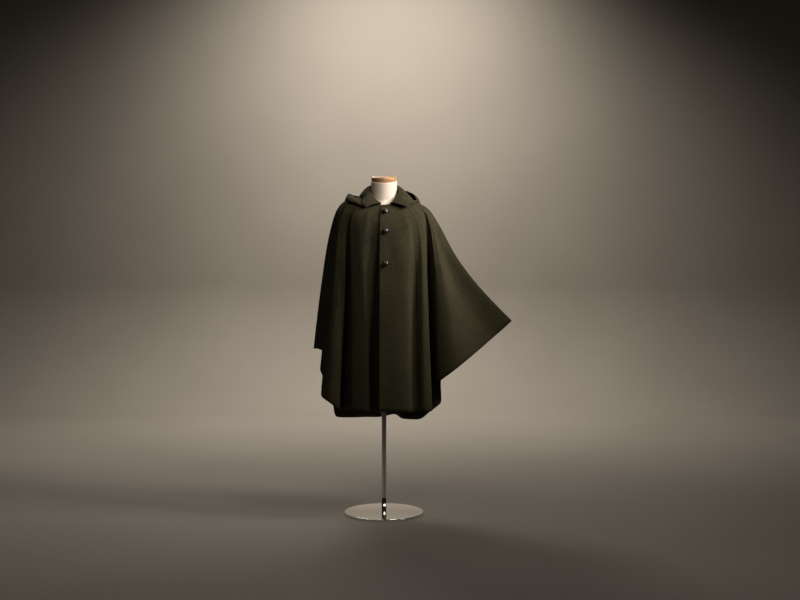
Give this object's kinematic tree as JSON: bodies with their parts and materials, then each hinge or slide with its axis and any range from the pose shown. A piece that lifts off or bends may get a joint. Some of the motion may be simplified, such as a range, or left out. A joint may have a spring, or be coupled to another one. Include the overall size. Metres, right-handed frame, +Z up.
{
  "type": "hooded wool cape coat on a dress form stand",
  "caption": "Loose hooded cape of thick wool with a shirt collar, round buttons and arm slits, one side spread like a wing, on a limbless dress form with a pole and a round base.",
  "frame": {"origin": "centre of the base plate's underside, on the floor, on the axis of the pole", "axes": "+Z up along the pole, the garment's front faces -Y, the wearer's left is +X"},
  "size_m": [0.9523, 0.4811, 1.6277],
  "materials": {
    "wool": "fulled wool, olive green",
    "leather": "dark brown, polished",
    "jersey": "smooth cream jersey",
    "beech": "clear lacquer",
    "chrome": "polished"
  },
  "bodies": {
    "root": {"arm_welt_left": "wool", "arm_welt_right": "wool", "back_panel": "wool", "base_plate": "chrome", "button_1": "leather", "button_2": "leather", "button_3": "leather", "collar_fall": "wool", "collar_stand": "wool", "dress_form": "jersey", "front_left_panel": "wool", "front_right_panel": "wool", "hood_left": "wool", "hood_right": "wool", "neck_cap": "beech", "pole": "chrome"}
  },
  "joints": []
}
